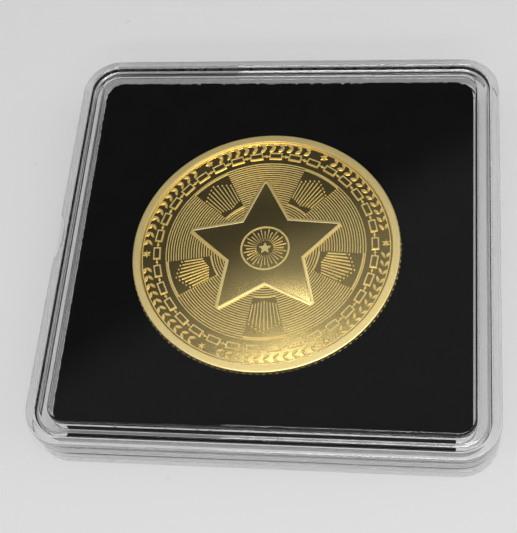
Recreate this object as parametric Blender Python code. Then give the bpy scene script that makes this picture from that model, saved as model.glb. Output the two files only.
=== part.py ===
"""A square snap-together coin capsule with its foam insert and the coin that it shows.

The capsule lies on its foot ring: +Z is up, the origin is the centre of its underside, and the
thumb notch is in the -X wall. Sizes are in metres.
"""

import math

import bmesh
import bpy
from mathutils import Matrix, Vector

MM = 0.001

# Driving dimensions
CASE_WIDTH = 66.0 * MM
CORNER_RADIUS = 5.8 * MM
BASE_WALL = 1.45 * MM
FLOOR_THICKNESS = 1.5 * MM
WINDOW_THICKNESS = 1.3 * MM
SKIRT_WALL = 1.65 * MM
WINDOW_RISE = 0.8 * MM
STACKING_DEPTH = 1.1 * MM
LEDGE_DROP = 0.2 * MM

COIN_DIAMETER = 40.0 * MM
COIN_THICKNESS = 3.0 * MM
COIN_TURN = math.radians(3.9)
COIN_RIM_WIDTH = 1.35 * MM
COIN_FIELD_DEPTH = 0.3 * MM
EMBLEM_RADIUS = 11.8 * MM
EMBLEM_WAIST = 6.2 * MM
EMBLEM_POINTS = 5
EMBLEM_HEIGHT = 0.2 * MM
COIN_EDGE_BEVEL = 0.15 * MM

FACING_THICKNESS = 0.5 * MM
COIN_PROUD = 0.1 * MM
BORE_OFFSET = Vector((-1.1 * MM, -1.2 * MM, 0.0))  # the bore is punched a little off centre

NOTCH_LENGTH = 8.3 * MM
NOTCH_DEPTH = 0.85 * MM
NOTCH_TILT = math.radians(45)

# Clearances
LID_FIT = 0.25 * MM
INSERT_FIT = 0.5 * MM
COIN_FIT = 0.25 * MM
COIN_HEADROOM = 0.3 * MM
CONTACT_GAP = 0.3 * MM
BOND_GAP = 0.2 * MM
SKIRT_GAP = 0.3 * MM
STACKING_FIT = 0.3 * MM

# Edge breaks and the snap bead
EDGE_ROUND = 0.3 * MM
FOOT_CHAMFER = 0.2 * MM
WINDOW_EDGE = 0.25 * MM
LID_CHAMFER = 0.2 * MM
BEAD_HEIGHT = 0.1 * MM
BEAD_HALF_WIDTH = 0.45 * MM
BEAD_BELOW_LEDGE = 1.9 * MM

CORNER_STEPS = 8
ROUND_STEPS = 96
EDGE_STEPS = 3

# Places that follow from the sizes above
HALF_WIDTH = CASE_WIDTH / 2
CORNER_CENTRE = HALF_WIDTH - CORNER_RADIUS
WALL_INSIDE = HALF_WIDTH - BASE_WALL
SKIRT_OUTSIDE = WALL_INSIDE - LID_FIT
SKIRT_INSIDE = SKIRT_OUTSIDE - SKIRT_WALL
WINDOW_HALF = SKIRT_INSIDE
INSERT_HALF = SKIRT_INSIDE - INSERT_FIT
INSERT_CORNER = SKIRT_INSIDE - CORNER_CENTRE  # the radius of the skirt's own inside corners
STACKING_HALF = WINDOW_HALF + STACKING_FIT

FLOOR_TOP = STACKING_DEPTH + FLOOR_THICKNESS
COIN_BOTTOM = FLOOR_TOP + CONTACT_GAP
COIN_TOP = COIN_BOTTOM + COIN_THICKNESS
FACING_TOP = COIN_TOP - COIN_PROUD
FACING_BOTTOM = FACING_TOP - FACING_THICKNESS
PAD_BOTTOM = FLOOR_TOP + CONTACT_GAP
PAD_TOP = FACING_BOTTOM - BOND_GAP
WINDOW_UNDERSIDE = COIN_TOP + COIN_HEADROOM
WINDOW_TOP = WINDOW_UNDERSIDE + WINDOW_THICKNESS
RIM_TOP = WINDOW_TOP - WINDOW_RISE
LEDGE_TOP = RIM_TOP - LEDGE_DROP
SKIRT_BOTTOM = FLOOR_TOP + SKIRT_GAP
BEAD_CENTRE = LEDGE_TOP - BEAD_BELOW_LEDGE
COIN_RADIUS = COIN_DIAMETER / 2
BORE_RADIUS = COIN_RADIUS + COIN_FIT
NOTCH_RADIUS = (NOTCH_LENGTH**2 / 4 + NOTCH_DEPTH**2) / (2 * NOTCH_DEPTH)


def clear_scene():
    """Removes every object that the scene starts with."""
    for obj in list(bpy.data.objects):
        bpy.data.objects.remove(obj, do_unlink=True)


def material(name, colour, roughness, metallic=0.0, transmission=0.0, ior=1.5):
    """A Principled material."""
    made = bpy.data.materials.new(name)
    made.use_nodes = True
    shader = made.node_tree.nodes["Principled BSDF"]
    shader.inputs["Base Color"].default_value = (*colour, 1.0)
    shader.inputs["Roughness"].default_value = roughness
    shader.inputs["Metallic"].default_value = metallic
    shader.inputs["Transmission Weight"].default_value = transmission
    shader.inputs["IOR"].default_value = ior
    return made


def arc(centre, radius, start, end, steps):
    """Points of a circular arc in the plane, ends included, between two angles in radians."""
    turns = [start + (end - start) * step / steps for step in range(steps + 1)]
    return [(centre[0] + radius * math.cos(a), centre[1] + radius * math.sin(a)) for a in turns]


def rounded_square(half, corner, z):
    """One level of a rounded square, counter-clockwise from its +X side."""
    points = []
    for quarter in range(4):
        start = quarter * math.pi / 2
        turn = Matrix.Rotation(start, 2)
        for x, y in arc((half - corner, half - corner), corner, 0, math.pi / 2, CORNER_STEPS):
            flat = turn @ Vector((x, y))
            points.append((flat.x, flat.y, z))
    return points


def concentric_square(half, z):
    """A rounded square whose corners share their centres with the case's outer corners."""
    return rounded_square(half, half - CORNER_CENTRE, z)


def circle(radius, z):
    """One level of a round piece, counter-clockwise from +X."""
    ring = arc((0, 0), radius, 0, 2 * math.pi, ROUND_STEPS)[:-1]
    return [(x, y, z) for x, y in ring]


def finish_mesh(name, bm, finish):
    """Turns a bmesh into a smooth-shaded object with one material."""
    bmesh.ops.recalc_face_normals(bm, faces=bm.faces)
    mesh = bpy.data.meshes.new(name)
    bm.to_mesh(mesh)
    bm.free()
    mesh.materials.append(finish)
    mesh.shade_smooth()
    mesh.set_sharp_from_angle(angle=math.radians(30))
    obj = bpy.data.objects.new(name, mesh)
    bpy.context.scene.collection.objects.link(obj)
    return obj


def loft(name, levels, finish):
    """A closed body through levels of equally many points, capped at the first and the last."""
    bm = bmesh.new()
    rings = [[bm.verts.new(point) for point in level] for level in levels]
    for lower, upper in zip(rings, rings[1:]):
        for here in range(len(lower)):
            after = (here + 1) % len(lower)
            bm.faces.new((lower[here], lower[after], upper[after], upper[here]))
    bm.faces.new(rings[0])
    bm.faces.new(rings[-1])
    return finish_mesh(name, bm, finish)


def prism(name, outline, low, high, finish):
    """A straight body over an outline of (x, y) points."""
    return loft(name, [[(x, y, z) for x, y in outline] for z in (low, high)], finish)


def as_cutter(obj):
    """Keeps a Boolean's second body out of the model."""
    obj.hide_render = True
    obj.display_type = "WIRE"
    return obj


def boolean(obj, other, operation):
    """Adds an exact Boolean of another body to an object."""
    modifier = obj.modifiers.new(operation.lower(), "BOOLEAN")
    modifier.operation = operation
    modifier.solver = "EXACT"
    modifier.object = as_cutter(other)


def rounded_edge(half, height, radius):
    """The rounded top outer edge of a section, from its side up to its top."""
    return arc((half - radius, height - radius), radius, 0, math.pi / 2, EDGE_STEPS)


def base_profile():
    """The base's section as (half width, height), from its underside panel round to its floor."""
    bead_low = BEAD_CENTRE - BEAD_HALF_WIDTH
    bead_high = BEAD_CENTRE + BEAD_HALF_WIDTH
    rim_round = rounded_edge(HALF_WIDTH, RIM_TOP, EDGE_ROUND)
    return [
        (STACKING_HALF, STACKING_DEPTH),
        (STACKING_HALF, 0.0),
        (HALF_WIDTH - FOOT_CHAMFER, 0.0),
        (HALF_WIDTH, FOOT_CHAMFER),
        *rim_round,
        (WALL_INSIDE + LID_CHAMFER, RIM_TOP),
        (WALL_INSIDE, RIM_TOP - LID_CHAMFER),
        (WALL_INSIDE, bead_high),
        (WALL_INSIDE + BEAD_HEIGHT, BEAD_CENTRE),
        (WALL_INSIDE, bead_low),
        (WALL_INSIDE, FLOOR_TOP),
    ]


def lid_profile():
    """The lid's section, from the underside of its window round the skirt to its top face."""
    bead_low = BEAD_CENTRE - BEAD_HALF_WIDTH
    bead_high = BEAD_CENTRE + BEAD_HALF_WIDTH
    window_round = rounded_edge(WINDOW_HALF, WINDOW_TOP, WINDOW_EDGE)
    return [
        (SKIRT_INSIDE, WINDOW_UNDERSIDE),
        (SKIRT_INSIDE, SKIRT_BOTTOM),
        (SKIRT_OUTSIDE - LID_CHAMFER, SKIRT_BOTTOM),
        (SKIRT_OUTSIDE, SKIRT_BOTTOM + LID_CHAMFER),
        (SKIRT_OUTSIDE, bead_low),
        (SKIRT_OUTSIDE + BEAD_HEIGHT, BEAD_CENTRE),
        (SKIRT_OUTSIDE, bead_high),
        (SKIRT_OUTSIDE, LEDGE_TOP - LID_CHAMFER),
        (SKIRT_OUTSIDE - LID_CHAMFER, LEDGE_TOP),
        (WINDOW_HALF + LID_CHAMFER, LEDGE_TOP),
        (WINDOW_HALF, LEDGE_TOP + LID_CHAMFER),
        *window_round,
    ]


def thumb_notch(finish):
    """The cutter of the scallop that breaks the outer top edge of the -X wall."""
    bm = bmesh.new()
    bmesh.ops.create_cone(
        bm,
        cap_ends=True,
        segments=ROUND_STEPS,
        radius1=NOTCH_RADIUS,
        radius2=NOTCH_RADIUS,
        depth=4 * NOTCH_RADIUS,
    )
    cutter = finish_mesh("notch_cutter", bm, finish)
    outward = Vector((-math.sin(NOTCH_TILT), 0.0, math.cos(NOTCH_TILT)))
    edge = Vector((-HALF_WIDTH, 0.0, RIM_TOP))
    cutter.location = edge + outward * (NOTCH_RADIUS - NOTCH_DEPTH)
    cutter.rotation_euler = (0.0, math.pi / 2 - NOTCH_TILT, 0.0)
    return cutter


def make_base(clear):
    """The lower shell: foot ring, floor and outer wall, with the thumb notch."""
    base = loft("base_shell", [concentric_square(half, z) for half, z in base_profile()], clear)
    boolean(base, thumb_notch(clear), "DIFFERENCE")


def make_lid(clear):
    """The upper shell: a raised window on a skirt that drops inside the base's wall."""
    loft("lid_shell", [concentric_square(half, z) for half, z in lid_profile()], clear)


def insert_layer(name, low, high, finish):
    """One square layer of the insert, with the coin's bore through it."""
    layer = loft(name, [rounded_square(INSERT_HALF, INSERT_CORNER, z) for z in (low, high)], finish)
    over = high - low
    cutter = loft(name + "_bore", [circle(BORE_RADIUS, z) for z in (low - over, high + over)], finish)
    cutter.location = BORE_OFFSET
    boolean(layer, cutter, "DIFFERENCE")


def star(radius, waist, points):
    """The outline of a star with one point towards +Y."""
    outline = []
    for step in range(2 * points):
        reach = waist if step % 2 else radius
        angle = math.pi / 2 + step * math.pi / points
        outline.append((reach * math.cos(angle), reach * math.sin(angle)))
    return outline


def coin_profile():
    """The coin's section about its own middle plane, from the reverse field to the obverse field."""
    rim = COIN_THICKNESS / 2
    field = rim - COIN_FIELD_DEPTH
    rim_inside = COIN_RADIUS - COIN_RIM_WIDTH
    lower = [
        (rim_inside - COIN_FIELD_DEPTH, -field),
        (rim_inside, -rim),
        (COIN_RADIUS - COIN_EDGE_BEVEL, -rim),
        (COIN_RADIUS, -rim + COIN_EDGE_BEVEL),
    ]
    return lower + [(radius, -z) for radius, z in reversed(lower)]


def make_coin(gold):
    """The coin: a raised rim, sunk fields and a star in relief on both faces."""
    coin = loft("coin", [circle(radius, z) for radius, z in coin_profile()], gold)
    relief = COIN_THICKNESS / 2 - COIN_FIELD_DEPTH + EMBLEM_HEIGHT
    emblem = prism("coin_emblem", star(EMBLEM_RADIUS, EMBLEM_WAIST, EMBLEM_POINTS), -relief, relief, gold)
    boolean(coin, emblem, "UNION")
    for piece in (coin, emblem):
        piece.location = BORE_OFFSET + Vector((0.0, 0.0, (COIN_BOTTOM + COIN_TOP) / 2))
        piece.rotation_euler = (0.0, 0.0, COIN_TURN)


def main():
    """Builds every piece of the capsule in its closed position."""
    clear_scene()
    clear = material("clear_polystyrene", (0.93, 0.95, 0.95), 0.04, transmission=1.0, ior=1.59)
    foam = material("black_foam", (0.012, 0.012, 0.013), 0.9)
    velvet = material("black_velvet", (0.009, 0.009, 0.011), 1.0)
    gold = material("gold_plate", (0.83, 0.62, 0.27), 0.22, metallic=1.0)
    make_base(clear)
    make_lid(clear)
    insert_layer("foam_pad", PAD_BOTTOM, PAD_TOP, foam)
    insert_layer("velvet_facing", FACING_BOTTOM, FACING_TOP, velvet)
    make_coin(gold)


main()
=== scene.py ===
"""The looks of a square coin capsule: two clear shells, a velvet-faced foam insert and a struck medal.

Lengths are in metres, +Z is up and the origin is the centre of the capsule's underside. The capsule
lies on a pale table, in soft studio light.
"""

import logging
import math
from collections.abc import Sequence
from dataclasses import dataclass, field
from enum import Enum, IntEnum
from typing import Any

import bmesh
import bpy
from mathutils import Matrix, Vector, noise


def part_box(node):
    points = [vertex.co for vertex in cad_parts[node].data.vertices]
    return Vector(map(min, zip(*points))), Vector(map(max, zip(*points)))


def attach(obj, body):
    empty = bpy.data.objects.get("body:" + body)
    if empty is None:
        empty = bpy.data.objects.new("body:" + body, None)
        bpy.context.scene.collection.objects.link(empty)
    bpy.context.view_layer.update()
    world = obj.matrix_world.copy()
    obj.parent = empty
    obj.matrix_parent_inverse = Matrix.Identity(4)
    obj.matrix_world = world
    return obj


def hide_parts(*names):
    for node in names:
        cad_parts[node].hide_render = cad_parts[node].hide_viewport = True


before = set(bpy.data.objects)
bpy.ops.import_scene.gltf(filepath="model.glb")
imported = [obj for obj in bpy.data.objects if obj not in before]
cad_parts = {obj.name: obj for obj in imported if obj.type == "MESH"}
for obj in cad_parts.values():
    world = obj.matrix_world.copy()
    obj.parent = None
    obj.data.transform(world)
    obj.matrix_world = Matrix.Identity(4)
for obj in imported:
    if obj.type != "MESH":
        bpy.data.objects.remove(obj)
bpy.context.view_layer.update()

LOG = logging.getLogger("coin_capsule")
MM = 0.001
WELD = 1e-7
TAU = 2 * math.pi

Point2 = tuple[float, float]
Colour = tuple[float, float, float]


class Body(Enum):
    """The bodies of the frame that pieces ride on."""

    BASE = "base"
    LID = "lid"
    INSERT = "insert"
    COIN = "coin"


class Slot(Enum):
    """The record's material slots."""

    CLEAR = "clear_plastic"
    FOAM = "black_foam"
    VELVET = "black_velvet"
    GOLD = "gold_plate"


# Shader maths


class Signal:
    """A number that varies over a surface. Operators on it add Math nodes to its tree."""

    def __init__(self, nodes: "Nodes", socket: Any) -> None:
        """Wraps a socket.

        Args:
            nodes: The tree that the socket belongs to.
            socket: An output socket that carries a number.
        """
        self.nodes = nodes
        self.socket = socket

    def _math(self, operation: str, first: Any, second: Any) -> "Signal":
        """Returns the output of a Math node on two values or sockets."""
        made = self.nodes.add("ShaderNodeMath", {"operation": operation}, {0: first, 1: second})
        return Signal(self.nodes, made.outputs[0])

    def __add__(self, other: Any) -> "Signal":
        """Returns the sum."""
        return self._math("ADD", self, other)

    def __radd__(self, other: Any) -> "Signal":
        """Returns the sum, from the right."""
        return self._math("ADD", other, self)

    def __sub__(self, other: Any) -> "Signal":
        """Returns the difference."""
        return self._math("SUBTRACT", self, other)

    def __rsub__(self, other: Any) -> "Signal":
        """Returns the difference, from the right."""
        return self._math("SUBTRACT", other, self)

    def __mul__(self, other: Any) -> "Signal":
        """Returns the product."""
        return self._math("MULTIPLY", self, other)

    def __rmul__(self, other: Any) -> "Signal":
        """Returns the product, from the right."""
        return self._math("MULTIPLY", other, self)

    def __truediv__(self, other: Any) -> "Signal":
        """Returns the quotient."""
        return self._math("DIVIDE", self, other)

    def larger(self, other: Any) -> "Signal":
        """Returns the larger of this and another value."""
        return self._math("MAXIMUM", self, other)

    def ramp(self, low: float, high: float) -> "Signal":
        """Returns 0 at low and 1 at high, smooth between them and flat beyond.

        Args:
            low: The value that becomes 0.
            high: The value that becomes 1.
        """
        made = self.nodes.add(
            "ShaderNodeMapRange",
            {"interpolation_type": "SMOOTHSTEP", "clamp": True},
            {"Value": self, "From Min": low, "From Max": high, "To Min": 0.0, "To Max": 1.0},
        )
        return Signal(self.nodes, made.outputs["Result"])


class Nodes:
    """A node tree that is built up from Python."""

    def __init__(self, tree: Any) -> None:
        """Wraps an empty node tree.

        Args:
            tree: The tree of a material, a world or a geometry group.
        """
        self.tree = tree
        self.tree.nodes.clear()

    def add(self, kind: str, settings: dict[str, Any] | None = None, inputs: dict | None = None) -> Any:
        """Adds a node, sets it up and feeds its inputs.

        Args:
            kind: The node's type.
            settings: The node's own properties, set before its sockets.
            inputs: A value, a socket or a Signal for each input, by its name or its place.

        Returns:
            The new node.
        """
        made = self.tree.nodes.new(kind)
        for name, value in (settings or {}).items():
            setattr(made, name, value)
        for name, value in (inputs or {}).items():
            self.feed(made.inputs[name], value)
        return made

    def feed(self, socket: Any, value: Any) -> None:
        """Links a socket or a Signal to an input, or sets the input's value.

        Args:
            socket: The input socket.
            value: What it takes.
        """
        source = value.socket if isinstance(value, Signal) else value
        if isinstance(source, bpy.types.NodeSocket):
            self.tree.links.new(source, socket)
        else:
            socket.default_value = source

    def place(self) -> Any:
        """Returns the Object coordinates of the surface."""
        return self.add("ShaderNodeTexCoord").outputs["Object"]

    def stretched(self, scale: Sequence[float]) -> Any:
        """Returns Object coordinates scaled along each axis.

        Args:
            scale: The factors along X, Y and Z.
        """
        mapping = self.add("ShaderNodeMapping", {}, {"Vector": self.place(), "Scale": scale})
        return mapping.outputs["Vector"]

    def noise(self, vector: Any, scale: float, detail: float = 3.0, roughness: float = 0.5) -> Signal:
        """Returns fractal noise from 0 to 1.

        Args:
            vector: The coordinates that it reads.
            scale: How many features there are in a metre.
            detail: How many octaves it has.
            roughness: How strong the finer octaves are.
        """
        inputs = {"Vector": vector, "Scale": scale, "Detail": detail, "Roughness": roughness}
        made = self.add("ShaderNodeTexNoise", {}, inputs)
        return Signal(self, made.outputs["Fac"])

    def blend(self, factor: Signal, first: Colour, second: Colour) -> Any:
        """Returns the mix of two colours.

        Args:
            factor: 0 for the first colour and 1 for the second.
            first: A linear colour.
            second: A linear colour.
        """
        mix = self.add("ShaderNodeMix", {"data_type": "RGBA"})
        self.feed(mix.inputs[0], factor)
        self.feed(mix.inputs[6], (*first, 1.0))
        self.feed(mix.inputs[7], (*second, 1.0))
        return mix.outputs[2]

    def shader(self, kind: str, inputs: dict[str, Any]) -> Any:
        """Returns the output of a surface shader.

        Args:
            kind: Its kind, such as Principled.
            inputs: Its inputs by name.
        """
        return self.add("ShaderNodeBsdf" + kind, {}, inputs).outputs[0]

    def mixed(self, factor: Signal, first: Any, second: Any) -> Any:
        """Returns the mix of two shaders.

        Args:
            factor: 0 for the first shader and 1 for the second.
            first: A shader's output.
            second: A shader's output.
        """
        return self.add("ShaderNodeMixShader", {}, {0: factor, 1: first, 2: second}).outputs[0]

    def cover(self, shader: Any) -> None:
        """Makes a shader the material's surface.

        Args:
            shader: The shader's output.
        """
        self.add("ShaderNodeOutputMaterial", {}, {"Surface": shader})

    def bump(self, height: Signal, depth: float, below: Any = None) -> Any:
        """Returns a normal bent by a height.

        Args:
            height: The height, from 0 to 1.
            depth: What a height of 1 stands for, in metres.
            below: A normal that this one adds to.
        """
        made = self.add("ShaderNodeBump", {}, {"Strength": 1.0, "Distance": depth, "Height": height})
        if below is not None:
            self.feed(made.inputs["Normal"], below)
        return made.outputs["Normal"]


def new_material(name: str) -> tuple[Any, Nodes]:
    """Makes an empty material.

    Args:
        name: The material's name.

    Returns:
        The material and its empty tree.
    """
    material = bpy.data.materials.new(name)
    material.use_nodes = True
    return material, Nodes(material.node_tree)


# Finishes


@dataclass(frozen=True)
class ClearPlastic:
    """Polished clear polystyrene. An inner wall may carry the mould's fine marks and a dark diffuse layer of
    painted shade.
    """

    name: str
    tint: Colour = (0.985, 0.99, 0.985)
    index: float = 1.49
    roughness: float = 0.0
    passes: float = 0.98
    ripple_depth: float = 0.0002 * MM
    ripples_per_metre: float = 90.0
    striae_depth: float = 0.0
    striae_per_metre: float = 3200.0
    striae_stretch: Sequence[float] = (1.0, 1.0, 0.03)
    painted_shade: float = 0.0
    painted_shade_colour: Colour = (0.01, 0.01, 0.011)
    thinnest_painted_shade: float = 0.85
    shade_streak_strength: float = 0.3
    shade_streaks_per_metre: float = 2200.0
    shade_streak_stretch: Sequence[float] = (1.0, 1.0, 0.1)

    def build(self) -> Any:
        """Returns the material. Lamps and the light off matt surfaces pass straight through it."""
        material, nodes = new_material(self.name)
        normal = nodes.bump(nodes.noise(nodes.place(), self.ripples_per_metre, 2.0), self.ripple_depth)
        if self.striae_depth:
            striae = nodes.noise(nodes.stretched(self.striae_stretch), self.striae_per_metre, 2.0, 0.6)
            normal = nodes.bump(striae, self.striae_depth, normal)
        inputs = {
            "Base Color": (*self.tint, 1.0),
            "Roughness": self.roughness,
            "IOR": self.index,
            "Transmission Weight": 1.0,
            "Normal": normal,
        }
        plastic = nodes.shader("Principled", inputs)
        open_way = nodes.shader("Transparent", {"Color": (*[self.passes] * 3, 1.0)})
        path = nodes.add("ShaderNodeLightPath").outputs
        glossy = Signal(nodes, path["Is Glossy Ray"]) * (1 - Signal(nodes, path["Is Singular Ray"]))
        passing = Signal(nodes, path["Is Shadow Ray"]).larger(path["Is Diffuse Ray"]).larger(glossy)
        surface = nodes.mixed(passing, plastic, open_way)
        # Painted shade: a near-black diffuse shader is mixed over the plastic where the wall should look
        # shaded, streaked by stretched noise.
        if self.painted_shade:
            shade_streaks = nodes.noise(nodes.stretched(self.shade_streak_stretch), self.shade_streaks_per_metre, 3.0, 0.6)
            cover = self.painted_shade * (self.thinnest_painted_shade + self.shade_streak_strength * shade_streaks)
            painted_shade = nodes.shader("Diffuse", {"Color": (*self.painted_shade_colour, 1.0)})
            surface = nodes.mixed(cover, surface, painted_shade)
        nodes.cover(surface)
        return material


class Finish:
    """A material of one Principled shader, whose inputs each kind of finish works out."""

    def inputs(self, nodes: Nodes) -> dict[str, Any]:
        """Returns the shader's inputs by name.

        Args:
            nodes: The material's tree.
        """
        raise NotImplementedError

    def build(self) -> Any:
        """Returns the material."""
        material, nodes = new_material(self.name)
        nodes.cover(nodes.shader("Principled", self.inputs(nodes)))
        return material


@dataclass(frozen=True)
class Gold(Finish):
    """Gold-coloured plating, from a mirror to a frosted finish."""

    name: str
    colour: Colour
    worn_colour: Colour
    roughness: float
    spread: float = 0.04
    clouds_per_metre: float = 160.0
    clouds: Point2 = (0.35, 0.7)
    grain_depth: float = 0.0
    grain_per_metre: float = 9000.0
    dome: float = 0.0
    middle: Point2 = (0.0, 0.0)

    def inputs(self, nodes: Nodes) -> dict[str, Any]:
        """Returns the shader's inputs by name. A dome bends the normals of a flat as a sphere's are.

        Args:
            nodes: The material's tree.
        """
        clouds = nodes.noise(nodes.place(), self.clouds_per_metre, 4.0, 0.55).ramp(*self.clouds)
        inputs = {
            "Base Color": nodes.blend(clouds, self.colour, self.worn_colour),
            "Metallic": 1.0,
            "Roughness": self.roughness + self.spread * clouds,
        }
        if self.grain_depth:
            grain = nodes.noise(nodes.place(), self.grain_per_metre, 2.0, 0.7)
            inputs["Normal"] = nodes.bump(grain, self.grain_depth)
        if self.dome:
            parts = nodes.add("ShaderNodeSeparateXYZ", {}, {0: nodes.place()}).outputs
            x, y = (Signal(nodes, parts[k]) - self.middle[k] for k in (0, 1))
            inputs["Normal"] = nodes.bump((x * x + y * y) / (-2 * self.dome * MM), 1.0 * MM)
        return inputs


@dataclass(frozen=True)
class Velvet(Finish):
    """Flocked black velvet, whose short pile leans in patches."""

    name: str = "velvet_pile"
    dark: Colour = (0.0022, 0.0022, 0.0027)
    light: Colour = (0.0045, 0.0045, 0.0053)
    patches_per_metre: float = 210.0
    patches: Point2 = (0.3, 0.72)
    patch_share: float = 0.7
    pile_per_metre: float = 6500.0
    pile_depth: float = 0.02 * MM

    def inputs(self, nodes: Nodes) -> dict[str, Any]:
        """Returns the shader's inputs by name.

        Args:
            nodes: The material's tree.
        """
        lean = nodes.noise(nodes.place(), self.patches_per_metre, 5.0, 0.6).ramp(*self.patches)
        pile = nodes.noise(nodes.place(), self.pile_per_metre, 2.0, 0.7)
        shade = lean * self.patch_share + pile * (1 - self.patch_share)
        return {
            "Base Color": nodes.blend(shade, self.dark, self.light),
            "Roughness": 0.95,
            "Specular IOR Level": 0.05,
            "Sheen Weight": 0.015,
            "Sheen Roughness": 0.45,
            "Sheen Tint": (0.75, 0.75, 0.85, 1.0),
            "Normal": nodes.bump(pile, self.pile_depth),
        }


@dataclass(frozen=True)
class Foam(Finish):
    """Fine-celled black foam, skived on its cut sides."""

    name: str = "foam_cells"
    wall: Colour = (0.016, 0.016, 0.017)
    pore: Colour = (0.003, 0.003, 0.003)
    cells_per_metre: float = 3600.0
    cell_edges: Point2 = (0.15, 0.5)
    cell_depth: float = 0.08 * MM
    mottles_per_metre: float = 400.0
    mottle: Point2 = (0.7, 0.5)

    def inputs(self, nodes: Nodes) -> dict[str, Any]:
        """Returns the shader's inputs by name.

        Args:
            nodes: The material's tree.
        """
        cells = {"Vector": nodes.place(), "Scale": self.cells_per_metre}
        voronoi = nodes.add("ShaderNodeTexVoronoi", {}, cells)
        pore = Signal(nodes, voronoi.outputs["Distance"]).ramp(*self.cell_edges)
        mottle = nodes.noise(nodes.place(), self.mottles_per_metre, 3.0)
        shade = pore * (self.mottle[0] + mottle * self.mottle[1])
        return {
            "Base Color": nodes.blend(shade, self.pore, self.wall),
            "Roughness": 0.92,
            "Specular IOR Level": 0.2,
            "Normal": nodes.bump(pore, self.cell_depth),
        }


@dataclass(frozen=True)
class Lint(Finish):
    """Pale dust fibres that cling to the velvet."""

    name: str = "lint_fibre"
    colour: Colour = (0.16, 0.16, 0.17)
    dimmest: float = 0.35
    fades_per_metre: float = 300.0

    def inputs(self, nodes: Nodes) -> dict[str, Any]:
        """Returns the shader's inputs by name.

        Args:
            nodes: The material's tree.
        """
        fade = nodes.noise(nodes.place(), self.fades_per_metre, 2.0)
        dim = tuple(self.dimmest * channel for channel in self.colour)
        return {"Base Color": nodes.blend(fade, dim, self.colour), "Roughness": 0.9}


@dataclass(frozen=True)
class TableTop(Finish):
    """A smooth pale table with faint dust."""

    name: str = "table_top"
    colour: Colour = (0.67, 0.67, 0.675)
    dust: Colour = (0.50, 0.50, 0.51)
    specks_per_metre: float = 420.0
    specks: Point2 = (0.73, 0.80)
    speck_strength: float = 0.5
    haze_per_metre: float = 9.0
    haze_strength: float = 0.06

    def inputs(self, nodes: Nodes) -> dict[str, Any]:
        """Returns the shader's inputs by name.

        Args:
            nodes: The material's tree.
        """
        specks = nodes.noise(nodes.place(), self.specks_per_metre, 2.0, 0.5).ramp(*self.specks)
        haze = nodes.noise(nodes.place(), self.haze_per_metre, 3.0)
        dusty = specks * self.speck_strength + haze * self.haze_strength
        return {
            "Base Color": nodes.blend(dusty, self.colour, self.dust),
            "Roughness": 0.6,
            "Specular IOR Level": 0.25,
        }


# Mesh work


def turns(count: int) -> list[float]:
    """Returns the angles of evenly spaced directions round a circle.

    Args:
        count: How many there are.
    """
    return [TAU * step / count for step in range(count)]


def towards(angle: float) -> Vector:
    """Returns the flat unit vector at an angle in radians."""
    return Vector((math.cos(angle), math.sin(angle)))


def arc(centre: Point2, radius: float, start: float, end: float, steps: int) -> list[Point2]:
    """Points of a circular arc, ends included.

    Args:
        centre: The arc's centre.
        radius: Its radius.
        start: The first angle, in radians.
        end: The last angle, in radians.
        steps: How many chords it has.

    Returns:
        The points in order.
    """
    angles = [start + (end - start) * step / steps for step in range(steps + 1)]
    return [(centre[0] + radius * math.cos(a), centre[1] + radius * math.sin(a)) for a in angles]


def softened(points: Sequence[tuple[float, float, float]], steps: int, hold: float) -> list[Point2]:
    """Rounds the corners of an open path.

    Args:
        points: Each corner's two coordinates and the radius it gets, 0 for a sharp one.
        steps: How many chords each rounding has.
        hold: How far beyond a rounding an extra point keeps the flat beside it flat.

    Returns:
        The points of the rounded path.
    """
    path = [(points[0][0], points[0][1])]
    for before, here, after in zip(points, points[1:], points[2:]):
        corner, radius = Vector(here[:2]), here[2]
        if radius == 0:
            path.append((corner.x, corner.y))
            continue
        back = (Vector(before[:2]) - corner).normalized()
        ahead = (Vector(after[:2]) - corner).normalized()
        half = back.angle(ahead) / 2
        run = radius / math.tan(half)
        centre = corner + (back + ahead).normalized() * (radius / math.sin(half))
        first = corner + back * run - centre
        sweep = first.angle_signed(corner + ahead * run - centre)
        start = math.atan2(first.y, first.x)
        path.append(tuple(corner + back * (run + hold)))
        path += arc((centre.x, centre.y), radius, start, start - sweep, steps)
        path.append(tuple(corner + ahead * (run + hold)))
    path.append((points[-1][0], points[-1][1]))
    return path


def rounded_square(half: float, corner: float, steps: int, hold: float) -> list[Point2]:
    """The outline of a rounded square, counter-clockwise from its +X side.

    Args:
        half: Half its width.
        corner: The radius of its corners.
        steps: How many chords a corner has.
        hold: How far from a corner's ends an extra point keeps each side flat.

    Returns:
        The points of the outline.
    """
    quarter = [(half, half - corner - hold)]
    quarter += arc((half - corner, half - corner), corner, 0, math.pi / 2, steps)
    quarter.append((half - corner - hold, half))
    outline = []
    for turn in range(4):
        matrix = Matrix.Rotation(turn * math.pi / 2, 2)
        outline += [tuple(matrix @ Vector(point)) for point in quarter]
    return outline


def linked(name: str, data: Any) -> Any:
    """Makes an object in the scene.

    Args:
        name: The object's name.
        data: Its mesh, camera or lamp.

    Returns:
        The object.
    """
    made = bpy.data.objects.new(name, data)
    bpy.context.scene.collection.objects.link(made)
    return made


def smooth(mesh: Any, sharp: float) -> None:
    """Shades a mesh smooth apart from its hard edges.

    Args:
        mesh: The mesh.
        sharp: The angle in degrees past which an edge stays hard.
    """
    mesh.shade_smooth()
    mesh.set_sharp_from_angle(angle=math.radians(sharp))


def plain_mesh(piece: Any) -> Any:
    """Makes a plain mesh of an object as its modifiers leave it, and takes them off.

    Args:
        piece: The object.

    Returns:
        The mesh.
    """
    graph = bpy.context.evaluated_depsgraph_get()
    mesh = bpy.data.meshes.new_from_object(piece.evaluated_get(graph))
    piece.modifiers.clear()
    return mesh


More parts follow.
